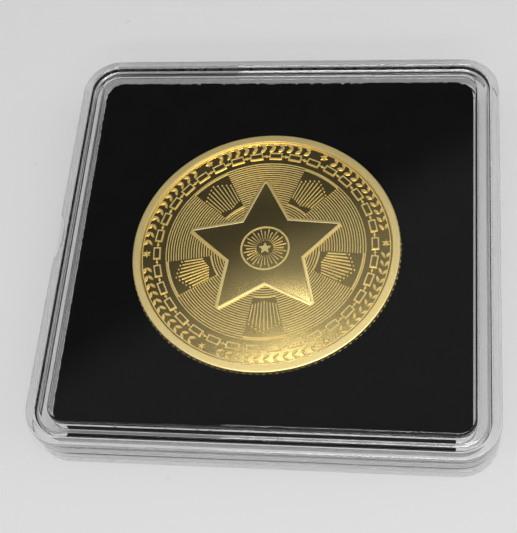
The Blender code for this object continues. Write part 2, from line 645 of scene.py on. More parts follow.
def finish_mesh(name: str, bm: Any, materials: Sequence[Any], sharp: float = 40.0) -> Any:
    """Turns a bmesh into a smooth-shaded object in the scene.

    Args:
        name: The object's name.
        bm: The bmesh, which is freed.
        materials: Its material slots in order.
        sharp: The angle in degrees past which an edge stays hard.

    Returns:
        The object.
    """
    bmesh.ops.remove_doubles(bm, verts=bm.verts, dist=WELD)
    bmesh.ops.recalc_face_normals(bm, faces=bm.faces)
    mesh = bpy.data.meshes.new(name)
    bm.to_mesh(mesh)
    bm.free()
    for material in materials:
        mesh.materials.append(material)
    smooth(mesh, sharp)
    return linked(name, mesh)


def add_loft(
    bm: Any, levels: Sequence[Sequence[Sequence[float]]], slots: Sequence[int] | None = None
) -> None:
    """Adds a closed body through levels of equally many points.

    Args:
        bm: The bmesh that it goes in.
        levels: The rings of points, first to last, which are capped at both ends.
        slots: The material slot of each band between two levels.
    """
    rings = [[bm.verts.new(point) for point in level] for level in levels]
    for band, (lower, upper) in enumerate(zip(rings, rings[1:])):
        for here in range(len(lower)):
            after = (here + 1) % len(lower)
            face = bm.faces.new((lower[here], lower[after], upper[after], upper[here]))
            face.material_index = slots[band] if slots else 0
    bm.faces.new(rings[0])
    bm.faces.new(rings[-1])


def add_turned(bm: Any, profile: Sequence[tuple[float, float, int]], steps: int) -> None:
    """Adds a closed turned body whose profile starts and ends on the axis.

    Args:
        bm: The bmesh that it goes in.
        profile: The radius, the height and the material slot of the band that follows, in order.
        steps: How many facets it has round the axis.
    """
    rings = []
    for radius, z, _ in profile:
        if radius == 0:
            rings.append([bm.verts.new((0.0, 0.0, z))] * steps)
            continue
        rings.append([bm.verts.new((radius * math.cos(a), radius * math.sin(a), z)) for a in turns(steps)])
    for (_, _, slot), lower, upper in zip(profile, rings, rings[1:]):
        for here in range(steps):
            after = (here + 1) % steps
            corners = dict.fromkeys((lower[here], lower[after], upper[after], upper[here]))
            bm.faces.new(tuple(corners)).material_index = slot


def inset(outline: Sequence[Point2], depth: float) -> list[Point2]:
    """Moves every side of a counter-clockwise outline inwards.

    Args:
        outline: The corners in order.
        depth: How far each side moves.

    Returns:
        The corners of the smaller outline.
    """
    moved = []
    count = len(outline)
    for here in range(count):
        before, corner, after = (Vector(outline[(here + k) % count]) for k in (-1, 0, 1))
        into, out = (corner - before).normalized(), (after - corner).normalized()
        mitre = Vector((-into.y - out.y, into.x + out.x)).normalized()
        reach = depth / max(0.2, mitre.dot(Vector((-into.y, into.x))))
        moved.append((corner.x + mitre.x * reach, corner.y + mitre.y * reach))
    return moved


def star(radius: float, waist: float, points: int, tip: float = 0.0) -> list[Point2]:
    """The outline of a star with one point towards +Y, counter-clockwise.

    Args:
        radius: How far its points reach.
        waist: How far its inner corners are from the middle.
        points: How many points it has.
        tip: The angle by which each blunt point is cut either side, in radians.

    Returns:
        The corners of the outline.
    """
    outline = []
    for step in range(2 * points):
        angle = math.pi / 2 + step * math.pi / points
        if step % 2:
            outline.append((waist * math.cos(angle), waist * math.sin(angle)))
            continue
        for side in (-tip, tip) if tip else (0.0,):
            outline.append((radius * math.cos(angle + side), radius * math.sin(angle + side)))
    return outline


@dataclass(frozen=True)
class Relief:
    """A raised shape with sloping sides, which may be sunk again inside a border."""

    outline: Sequence[Point2]
    height: float
    slope: float = 0.04 * MM
    border: float = 0.0
    sunk: float = 0.0

    def add(self, bm: Any, low: float, level: float, slot: int = 0) -> None:
        """Adds the shape to a bmesh.

        Args:
            bm: The bmesh that it goes in.
            low: The height of its foot.
            level: The height that its own height counts from.
            slot: Its material slot.
        """
        top = level + self.height
        steps = [(0.0, low), (self.slope, top)]
        if self.border:
            steps.append((self.slope + self.border, top))
            steps.append((2 * self.slope + self.border, top - self.sunk))
        rings = [[(x, y, z) for x, y in inset(self.outline, depth)] for depth, z in steps]
        before = len(bm.faces)
        add_loft(bm, rings)
        bm.faces.ensure_lookup_table()
        for face in bm.faces[before:]:
            face.material_index = slot


def settle(piece: Any, body: Body, nodes: Sequence[str] = ()) -> Any:
    """Gives a finished piece its body and the frame nodes that it stands for.

    Args:
        piece: The object.
        body: The body that it moves with.
        nodes: The frame's nodes that it replaces.

    Returns:
        The piece.
    """
    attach(piece, body.value)
    if nodes:
        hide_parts(*nodes)
    faces = len(piece.data.polygons)
    LOG.info("%s rides on %s with %d faces", piece.name, body.value, faces)
    return piece


# Geometry Nodes


class GeometryTree:
    """A Geometry Nodes group with named inputs that ends in realised copies of one material."""

    def __init__(self, name: str, **kinds: str) -> None:
        """Makes a group with its geometry sockets and its named inputs.

        Args:
            name: The group's name.
            **kinds: Each named input and its kind, such as Float or Int.
        """
        self.tree = bpy.data.node_groups.new(name, "GeometryNodeTree")
        self.nodes = Nodes(self.tree)
        self.keys: dict[str, str] = {}
        self.tree.interface.new_socket(name="Geometry", in_out="OUTPUT", socket_type="NodeSocketGeometry")
        for key, kind in {"Geometry": "Geometry", "Material": "Material", **kinds}.items():
            socket = self.tree.interface.new_socket(name=key, in_out="INPUT", socket_type="NodeSocket" + kind)
            self.keys[key] = socket.identifier
        self.given = self.nodes.add("NodeGroupInput").outputs

    def math(self, operation: str, **inputs: Any) -> Any:
        """Returns the output of a Vector Math node.

        Args:
            operation: What it does.
            **inputs: Its first and second inputs, or its first and Scale.
        """
        places = {"first": 0, "second": 1, "scale": "Scale"}
        found = {places[key]: value for key, value in inputs.items()}
        return self.nodes.add("ShaderNodeVectorMath", {"operation": operation}, found).outputs[0]

    def random_vector(self, low: Sequence[float], high: Sequence[float]) -> Any:
        """Returns a random vector for each point, from the group's Seed.

        Args:
            low: The least of each component.
            high: The most of each component.
        """
        inputs = {"Seed": self.given["Seed"], "Min": low, "Max": high}
        return self.nodes.add("FunctionNodeRandomValue", {"data_type": "FLOAT_VECTOR"}, inputs).outputs[0]

    def random_size(self, smallest: float) -> Any:
        """Returns a random size for each point, up to 1.

        Args:
            smallest: The least size.
        """
        inputs = {"Seed": Signal(self.nodes, self.given["Seed"]) + 1, 2: smallest, 3: 1.0}
        return self.nodes.add("FunctionNodeRandomValue", {"data_type": "FLOAT"}, inputs).outputs[1]

    def finish(self, points: Any, motif: Any, turn: Any, size: Any = None) -> None:
        """Ends the group: copies of a motif on points are realised and take the Material.

        Args:
            points: The socket that carries the points.
            motif: The socket that carries the motif.
            turn: The socket that turns each copy.
            size: The socket that sizes each copy.
        """
        inputs = {"Points": points, "Instance": motif, "Rotation": turn}
        if size is not None:
            inputs["Scale"] = size
        copies = self.nodes.add("GeometryNodeInstanceOnPoints", {}, inputs)
        real = self.nodes.add("GeometryNodeRealizeInstances", {}, {"Geometry": copies.outputs[0]})
        inputs = {"Geometry": real.outputs[0], "Material": self.given["Material"]}
        dressed = self.nodes.add("GeometryNodeSetMaterial", {}, inputs)
        self.nodes.add("NodeGroupOutput", {}, {0: dressed.outputs[0]})

    def grow(self, source: Any, name: str, **values: Any) -> Any:
        """Runs the group on an object and keeps the result as a plain mesh.

        Args:
            source: The object that it starts from, which is removed.
            name: The new object's name.
            **values: The value of each named input.

        Returns:
            The new object.
        """
        modifier = source.modifiers.new(name, "NODES")
        modifier.node_group = self.tree
        for key, value in values.items():
            modifier[self.keys[key]] = value
        mesh = plain_mesh(source)
        mesh.name = name
        bpy.data.objects.remove(source, do_unlink=True)
        return linked(name, mesh)


def ring_tree() -> GeometryTree:
    """Makes the group that repeats a motif round a circle about Z.

    Returns:
        The group. Its inputs are Count, Radius, Start, Span, Tilt and Lift.
    """
    floats = dict.fromkeys(("Radius", "Start", "Span", "Tilt", "Lift"), "Float")
    group = GeometryTree("ring_of_motifs", Count="Int", **floats)
    nodes, given = group.nodes, group.given
    index = Signal(nodes, nodes.add("GeometryNodeInputIndex").outputs[0])
    angle = index / given["Count"] * given["Span"] + given["Start"]
    place = {"Z": given["Lift"]}
    for axis, operation in (("X", "COSINE"), ("Y", "SINE")):
        share = nodes.add("ShaderNodeMath", {"operation": operation}, {0: angle})
        place[axis] = Signal(nodes, share.outputs[0]) * given["Radius"]
    where = nodes.add("ShaderNodeCombineXYZ", {}, place)
    turn = nodes.add("ShaderNodeCombineXYZ", {}, {"Z": angle + given["Tilt"]})
    inputs = {"Count": given["Count"], "Position": where.outputs[0]}
    points = nodes.add("GeometryNodePoints", {}, inputs)
    group.finish(points.outputs[0], given["Geometry"], turn.outputs[0])
    return group


def fringe_tree() -> GeometryTree:
    """Makes the group that grows short fibres outwards and upwards along a closed edge.

    Returns:
        The group. Its inputs are Count, Length, Thickness, Rise, Stray and Seed.
    """
    floats = dict.fromkeys(("Length", "Thickness", "Rise", "Stray"), "Float")
    group = GeometryTree("fibre_fringe", Count="Int", Seed="Int", **floats)
    nodes, given = group.nodes, group.given
    curve = nodes.add("GeometryNodeMeshToCurve", {}, {"Mesh": given["Geometry"]})
    inputs = {"Curve": curve.outputs[0], "Count": given["Count"]}
    points = nodes.add("GeometryNodeCurveToPoints", {"mode": "COUNT"}, inputs)
    across = group.math("CROSS_PRODUCT", first=points.outputs["Tangent"], second=(0.0, 0.0, 1.0))
    rise = nodes.add("ShaderNodeCombineXYZ", {}, {"Z": given["Rise"]})
    scatter = group.random_vector((-1.0, -1.0, -1.0), (1.0, 1.0, 1.0))
    stray = group.math("SCALE", first=scatter, scale=given["Stray"])
    lean = group.math("ADD", first=across, second=rise.outputs[0])
    heading = group.math("ADD", first=lean, second=stray)
    turn = nodes.add("FunctionNodeAlignRotationToVector", {"axis": "Z"}, {"Vector": heading})
    inputs = {
        "Vertices": 3,
        "Side Segments": 1,
        "Radius Top": 0.0,
        "Radius Bottom": given["Thickness"],
        "Depth": given["Length"],
    }
    fibre = nodes.add("GeometryNodeMeshCone", {"fill_type": "TRIANGLE_FAN"}, inputs)
    group.finish(points.outputs[0], fibre.outputs[0], turn.outputs[0], group.random_size(0.25))
    return group


def lint_tree() -> GeometryTree:
    """Makes the group that strews flat-lying fibres over a surface.

    Returns:
        The group. Its inputs are Density, Length, Thickness and Seed.
    """
    floats = dict.fromkeys(("Density", "Length", "Thickness"), "Float")
    group = GeometryTree("strewn_lint", Seed="Int", **floats)
    nodes, given = group.nodes, group.given
    inputs = {"Mesh": given["Geometry"], "Density": given["Density"], "Seed": given["Seed"]}
    points = nodes.add("GeometryNodeDistributePointsOnFaces", {}, inputs)
    heading = group.random_vector((1.4, 0.0, 0.0), (1.6, 0.2, TAU))
    inputs = {"Vertices": 5, "Radius": given["Thickness"], "Depth": given["Length"]}
    fibre = nodes.add("GeometryNodeMeshCylinder", {"fill_type": "TRIANGLE_FAN"}, inputs)
    group.finish(points.outputs[0], fibre.outputs[0], heading, group.random_size(0.3))
    return group


# The capsule


@dataclass(frozen=True)
class Zone:
    """A part of a shell's section, between two half widths and two heights."""

    halves: Point2
    heights: Point2

    def holds(self, point: Point2) -> bool:
        """Returns whether a point of the section lies in it.

        Args:
            point: Its half width and its height.
        """
        across = self.halves[0] < point[0] < self.halves[1]
        return across and self.heights[0] < point[1] < self.heights[1]


def box_corner(node: str, corner: int) -> Any:
    """Makes a field that takes up one corner of a frame node's box.

    Args:
        node: The node.
        corner: 0 for its lowest corner and 1 for its highest.

    Returns:
        The field.
    """
    return field(default_factory=lambda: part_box(node)[corner])


@dataclass
class CapsuleSizes:
    """The sizes of the shells: the frame's boxes, and the walls and clearances between them."""

    base_high: Vector = box_corner("base_shell", 1)
    lid_high: Vector = box_corner("lid_shell", 1)
    coin_low: Vector = box_corner("coin", 0)
    coin_high: Vector = box_corner("coin", 1)
    corner_radius: float = 5.8 * MM
    base_wall: float = 1.45 * MM
    skirt_wall: float = 1.65 * MM
    lid_fit: float = 0.25 * MM
    stacking_depth: float = 1.1 * MM
    stacking_fit: float = 0.3 * MM
    contact_gap: float = 0.3 * MM
    headroom: float = 0.3 * MM
    ledge_drop: float = 0.2 * MM
    bead_height: float = 0.1 * MM
    bead_half_width: float = 0.45 * MM
    bead_below_ledge: float = 1.9 * MM
    corner_steps: int = 22
    round_steps: int = 6
    corner_hold: float = 0.3 * MM
    edge_hold: float = 0.03 * MM
    cap_margin: float = 1.2 * MM

    @property
    def half(self) -> float:
        """Half the capsule's width."""
        return self.base_high.x

    @property
    def corner_centre(self) -> float:
        """How far the centre of each corner's arcs is from the middle, along X and Y."""
        return self.half - self.corner_radius

    @property
    def wall_inside(self) -> float:
        """Half the width inside the base's wall."""
        return self.half - self.base_wall

    @property
    def skirt_outside(self) -> float:
        """Half the width of the lid's skirt."""
        return self.wall_inside - self.lid_fit

    @property
    def window_half(self) -> float:
        """Half the width of the raised window, which is the width inside the skirt."""
        return self.skirt_outside - self.skirt_wall

    @property
    def floor_top(self) -> float:
        """The height of the base's floor."""
        return self.coin_low.z - self.contact_gap

    @property
    def window_underside(self) -> float:
        """The height of the window's underside."""
        return self.coin_high.z + self.headroom

    @property
    def ledge(self) -> float:
        """The height of the step round the window."""
        return self.base_high.z - self.ledge_drop

    @property
    def bead(self) -> float:
        """The height of the middle of the snap bead."""
        return self.ledge - self.bead_below_ledge

    def level(self, half: float, z: float) -> list[tuple[float, float, float]]:
        """One level of a shell, whose corners share their centres with the outer ones.

        Args:
            half: Half the level's width.
            z: Its height.

        Returns:
            The points of the level.
        """
        corner = half - self.corner_centre
        outline = rounded_square(half, corner, self.corner_steps, self.corner_hold)
        return [(x, y, z) for x, y in outline]

    def shell(self, bm: Any, section: Sequence[tuple[float, float, float]], zones: Sequence[Zone]) -> None:
        """Adds a shell from a section of half widths, heights and edge radii.

        Args:
            bm: The bmesh that it goes in.
            section: The corners of the section from one cap to the other.
            zones: The parts of the section that have a finish of their own, from slot 1 on.
        """
        path = softened(section, self.round_steps, self.edge_hold)
        slots = []
        for (half, z), (next_half, next_z) in zip(path, path[1:]):
            middle = ((half + next_half) / 2, (z + next_z) / 2)
            slots.append(next((k for k, zone in enumerate(zones, 1) if zone.holds(middle)), 0))
        add_loft(bm, [self.level(half, z) for half, z in path], slots)


@dataclass
class BaseShell:
    """The clear lower shell with its foot ring and thumb notch."""

    sizes: CapsuleSizes
    foot_round: float = 0.2 * MM
    recess_round: float = 0.25 * MM
    rim_round: float = 0.3 * MM
    lip_round: float = 0.45 * MM
    floor_fillet: float = 0.35 * MM
    seam_height: float = 0.55 * MM
    notch_length: float = 8.3 * MM
    notch_depth: float = 0.85 * MM
    notch_tilt: float = math.radians(45)
    notch_steps: int = 192
    zone_inside: float = 0.02 * MM
    zone_outside: float = 0.2 * MM
    crease: float = 40.0

    def section(self) -> list[tuple[float, float, float]]:
        """The section from the underside panel, round the foot and the wall, to the floor."""
        s = self.sizes
        inside, top = s.wall_inside, s.base_high.z
        recess = s.window_half + s.stacking_fit
        return [
            (recess - s.cap_margin, s.stacking_depth, 0.0),
            (recess, s.stacking_depth, self.recess_round),
            (recess, 0.0, self.foot_round),
            (s.half, 0.0, self.foot_round),
            (s.half, top, self.rim_round),
            (inside, top, self.lip_round),
            (inside, top - self.lip_round - self.seam_height, 0.0),
            (inside, s.bead + s.bead_half_width, 0.0),
            (inside + s.bead_height, s.bead, 0.0),
            (inside, s.bead - s.bead_half_width, 0.0),
            (inside, s.floor_top, self.floor_fillet),
            (inside - 2 * s.cap_margin, s.floor_top, 0.0),
        ]

    def notch_cutter(self) -> Any:
        """Makes the round cutter that leaves the thumb notch in the -X wall's top edge."""
        radius = (self.notch_length**2 / 4 + self.notch_depth**2) / (2 * self.notch_depth)
        outward = Vector((-math.sin(self.notch_tilt), 0.0, math.cos(self.notch_tilt)))
        centre = Vector((-self.sizes.half, 0.0, self.sizes.base_high.z))
        centre += outward * (radius - self.notch_depth)
        along = Matrix.Rotation(math.pi / 2 - self.notch_tilt, 4, "Y")
        bm = bmesh.new()
        bmesh.ops.create_cone(
            bm,
            cap_ends=True,
            segments=self.notch_steps,
            radius1=radius,
            radius2=radius,
            depth=2 * radius,
            matrix=Matrix.Translation(centre) @ along,
        )
        return finish_mesh("notch_cutter", bm, [])

    def build(self, plastic: Any, marks_and_painted_shade: Any, painted_seam_shade: Any) -> Any:
        """Makes the shell.

        Args:
            plastic: Its material.
            marks_and_painted_shade: The material of its wall's inner side, with the mould's marks and a layer
                of painted shade that darkens the wall.
            painted_seam_shade: The material of the strip along the seam, where the lid slides in: nearly
                opaque painted shade that darkens the seam between lid and base.

        Returns:
            The finished piece.
        """
        s = self.sizes
        halves = (s.wall_inside - self.zone_inside, s.wall_inside + self.zone_outside)
        top = s.base_high.z - self.lip_round
        # The strip along the seam gets painted shade: a dark line where the gap between lid and base lies in
        # shade.
        strip = Zone(halves, (top - self.seam_height, top + self.lip_round / 2))
        wall = Zone(halves, (s.floor_top + self.floor_fillet, top - self.seam_height))
        bm = bmesh.new()
        s.shell(bm, self.section(), [wall, strip])
        shell = finish_mesh("base_clear_shell", bm, [plastic, marks_and_painted_shade, painted_seam_shade])
        cutter = self.notch_cutter()
        cut = shell.modifiers.new("notch", "BOOLEAN")
        cut.operation = "DIFFERENCE"
        cut.solver = "EXACT"
        cut.object = cutter
        shell.data = plain_mesh(shell)
        smooth(shell.data, self.crease)
        bpy.data.objects.remove(cutter, do_unlink=True)
        return settle(shell, Body.BASE, ["base_shell"])


@dataclass
class LidShell:
    """The clear upper shell: the raised window on its skirt."""

    sizes: CapsuleSizes
    window_round: float = 0.3 * MM
    step_round: float = 0.1 * MM
    skirt_round: float = 0.2 * MM
    shoulder_round: float = 0.5 * MM
    under_round: float = 0.3 * MM
    skirt_gap: float = 0.3 * MM
    pressed_height: float = 2.4 * MM
    zone_margin: float = 0.1 * MM

    def section(self) -> list[tuple[float, float, float]]:
        """The section from the window's underside, round the skirt, to the window's top."""
        s = self.sizes
        inside, outside = s.window_half, s.skirt_outside
        bottom = s.floor_top + self.skirt_gap
        return [
            (inside - s.cap_margin, s.window_underside, 0.0),
            (inside, s.window_underside, self.under_round),
            (inside, s.window_underside - self.pressed_height, 0.0),
            (inside, bottom, self.skirt_round),
            (outside, bottom, self.skirt_round),
            (outside, s.bead - s.bead_half_width, 0.0),
            (outside + s.bead_height, s.bead, 0.0),
            (outside, s.bead + s.bead_half_width, 0.0),
            (outside, s.ledge, self.shoulder_round),
            (inside, s.ledge, self.step_round),
            (inside, s.lid_high.z, self.window_round),
            (inside - s.cap_margin, s.lid_high.z, 0.0),
        ]

    def build(self, plastic: Any, rough: Any) -> Any:
        """Makes the shell.

        Args:
            plastic: Its material.
            rough: The material of the front strip that the facing's pile is pressed against.

        Returns:
            The finished piece.
        """
        s = self.sizes
        top, margin = s.window_underside, self.zone_margin
        halves = (s.window_half - margin, s.window_half + margin)
        pressed = Zone(halves, (top - self.pressed_height, top - margin))
        bm = bmesh.new()
        s.shell(bm, self.section(), [pressed])
        for face in bm.faces:
            if face.calc_center_median().y > -s.corner_centre:
                face.material_index = 0
        lid = finish_mesh("lid_clear_shell", bm, [plastic, rough])
        return settle(lid, Body.LID, ["lid_shell"])


@dataclass(frozen=True)
class Fringe:
    """The fibres along one edge of the facing."""

    name: str
    inside: bool
    count: int
    length: float
    rise: float
    seed: int
    thickness: float = 0.03 * MM
    stray: float = 0.8


@dataclass
class Insert:
    """The foam insert and its velvet facing, with the bore that the coin sits in.

    The insert is pushed up against the front of the lid's skirt, with play on its other sides.
    """

    foam_low: Vector = box_corner("foam_pad", 0)
    facing_low: Vector = box_corner("velvet_facing", 0)
    facing_high: Vector = box_corner("velvet_facing", 1)
    coin_low: Vector = box_corner("coin", 0)
    coin_high: Vector = box_corner("coin", 1)
    push: float = 0.43 * MM
    press: float = 0.085 * MM
    corner: float = 2.45 * MM
    coin_fit: float = 0.1 * MM
    glue_line: float = 0.02 * MM
    spokes: int = 640
    rings: int = 14
    raggedness: float = 0.45 * MM
    ragged_per_metre: float = 1500.0
    swell: float = 0.04 * MM
    swells_per_metre: float = 140.0
    edge_roll: float = 0.16 * MM
    first_share: float = 0.3
    crease: float = 60.0
    fringes: tuple[Fringe, ...] = (
        Fringe("outer_edge_fibres", False, 2600, 0.36 * MM, 0.1, 7),
        Fringe("bore_edge_fibres", True, 900, 0.16 * MM, 0.35, 8),
    )
    lint_density: float = 22000.0
    lint_length: float = 0.25 * MM
    lint_thickness: float = 0.016 * MM
    lint_seed: int = 11
    lint_gap: float = 1.03
    lint_steps: int = 48

    @property
    def middle(self) -> Vector:
        """The middle of the bore, which is the coin's."""
        return (self.coin_low + self.coin_high) / 2

    @property
    def centre(self) -> Vector:
        """The middle of the insert's square."""
        return Vector((0.0, -self.push))

    @property
    def half(self) -> Vector:
        """Half the insert's size along X and Y. Its front is pressed up against the skirt."""
        width = self.facing_high.x
        return Vector((width, width + self.press))

    @property
    def bore(self) -> float:
        """The bore's radius."""
        return (self.coin_high.x - self.coin_low.x) / 2 + self.coin_fit

    def rim_point(self, angle: float, inward: float = 0.0) -> Vector:
        """Where a ray from the middle of the bore meets the insert's rounded outline.

        Args:
            angle: The ray's direction, in radians.
            inward: How far inside the outline the point lies.

        Returns:
            The point.
        """
        ray = towards(angle)
        half = self.half - Vector((inward, inward))
        start = self.middle.xy - self.centre
        sides = [k for k in (0, 1) if abs(ray[k]) > 1e-9]
        end = start + ray * min((math.copysign(half[k], ray[k]) - start[k]) / ray[k] for k in sides)
        flat = half - Vector((self.corner, self.corner))
        if abs(end.x) <= flat.x or abs(end.y) <= flat.y:
            return self.centre + end
        offset = start - Vector((math.copysign(flat.x, end.x), math.copysign(flat.y, end.y)))
        along = offset.dot(ray)
        root = along * along - offset.length_squared + self.corner**2
        return self.middle.xy + ray * (math.sqrt(max(root, 0.0)) - along)

    def layer(self, name: str, low: float, high: float, ragged: float, material: Any) -> Any:
        """Makes one bored layer with soft edges and a gently uneven top.

        Args:
            name: The object's name.
            low: The height of its underside.
            high: The height of its top.
            ragged: How far its outer edge wanders.
            material: Its material.

        Returns:
            The object.
        """
        roll = self.edge_roll
        bm = bmesh.new()
        loops = []
        for angle in turns(self.spokes):
            ray = towards(angle)
            inner = self.middle.xy + ray * self.bore
            outer = self.rim_point(angle)
            place = Vector((*outer, high)) * self.ragged_per_metre
            outer -= ray * abs(noise.fractal(place, 0.6, 2.0, 3)) * ragged
            span = (outer - inner).length
            shares = [0.0, self.first_share * roll / span, roll / span]
            even = [shares[-1] + (1 - 2 * shares[-1]) * k / self.rings for k in range(1, self.rings)]
            shares += even + [1 - share for share in reversed(shares)]
            column = []
            for share in shares:
                flat = inner.lerp(outer, share)
                short = 1 - min(min(share, 1 - share) * span / roll, 1.0)
                drop = roll * (1 - math.sqrt(max(0.0, 1 - short**2)))
                lift = noise.noise(Vector((flat.x, flat.y, 0.0)) * self.swells_per_metre) - 1.0
                column.append(bm.verts.new((flat.x, flat.y, high - drop + lift * self.swell / 2)))
            column += [bm.verts.new((outer.x, outer.y, low)), bm.verts.new((inner.x, inner.y, low))]
            loops.append(column)
        for here in range(self.spokes):
            this, after = loops[here], loops[(here + 1) % self.spokes]
            for row in range(len(this)):
                below = (row + 1) % len(this)
                bm.faces.new((this[row], this[below], after[below], after[row]))
        return finish_mesh(name, bm, [material], sharp=self.crease)

    def edge_path(self, name: str, inside: bool) -> Any:
        """Makes the closed edge that fibres grow along, as a mesh of edges.

        Args:
            name: The object's name.
            inside: True for the bore's edge, and False for the outer one.

        Returns:
            The object.
        """
        z = self.facing_high.z - self.edge_roll / 2
        points = []
        for angle in turns(self.spokes):
            if inside:
                flat = self.middle.xy + towards(angle) * self.bore
            else:
                flat = self.rim_point(angle, self.raggedness / 2)
            points.append((flat.x, flat.y, z))
        count = len(points)
        ring = points[::-1] if inside else points
        mesh = bpy.data.meshes.new(name)
        mesh.from_pydata(ring, [(k, (k + 1) % count) for k in range(count)], [])
        return linked(name, mesh)

    def build(self, velvet: Any, foam: Any, lint: Any) -> None:
        """Makes the foam, the facing, its fuzzy edges and the lint on it.

        Args:
            velvet: The facing's material.
            foam: The foam's material.
            lint: The lint's material.
        """
        under = self.facing_low.z
        pad = self.layer("foam_insert", self.foam_low.z, under - self.glue_line, 0.0, foam)
        settle(pad, Body.INSERT, ["foam_pad"])
        facing = self.layer("velvet_sheet", under, self.facing_high.z, self.raggedness, velvet)
        settle(facing, Body.INSERT, ["velvet_facing"])
        tree = fringe_tree()
        for fringe in self.fringes:
            made = tree.grow(
                self.edge_path(fringe.name + "_path", fringe.inside),
                fringe.name,
                Material=velvet,
                Count=fringe.count,
                Length=fringe.length,
                Thickness=fringe.thickness,
                Rise=fringe.rise,
                Stray=fringe.stray,
                Seed=fringe.seed,
            )
            settle(made, Body.INSERT)
        strewn = lint_tree().grow(
            self.lint_patch(),
            "velvet_lint",
            Material=lint,
            Density=self.lint_density,
            Length=self.lint_length,
            Thickness=self.lint_thickness,
            Seed=self.lint_seed,
        )
        settle(strewn, Body.INSERT)

    def lint_patch(self) -> Any:
        """Makes the flat patch beside the bore that lint is strewn over."""
        z = self.facing_high.z - self.swell / 2
        steps = self.lint_steps
        inner = [self.middle.xy + towards(a) * self.bore * self.lint_gap for a in turns(steps)]
        outer = [self.rim_point(a, 4 * self.raggedness) for a in turns(steps)]
        mesh = bpy.data.meshes.new("lint_patch")
        points = [(point.x, point.y, z) for point in inner + outer]
        after = [(step + 1) % steps for step in range(steps)]
        faces = [(k, steps + k, steps + after[k], after[k]) for k in range(steps)]
        mesh.from_pydata(points, [], faces)
        return linked("lint_patch", mesh)


# The medal


@dataclass(frozen=True)
class MedalFace:
    """The design of one face of the medal."""

    label: str
    star_points: int
    star_radius: float
    star_waist: float
    star_tip: float
    window: float
    fans: int


class Polish(IntEnum):
    """The medal's finishes, by their material slots."""

    MIRROR = 0
    SATIN = 1
    FROST = 2


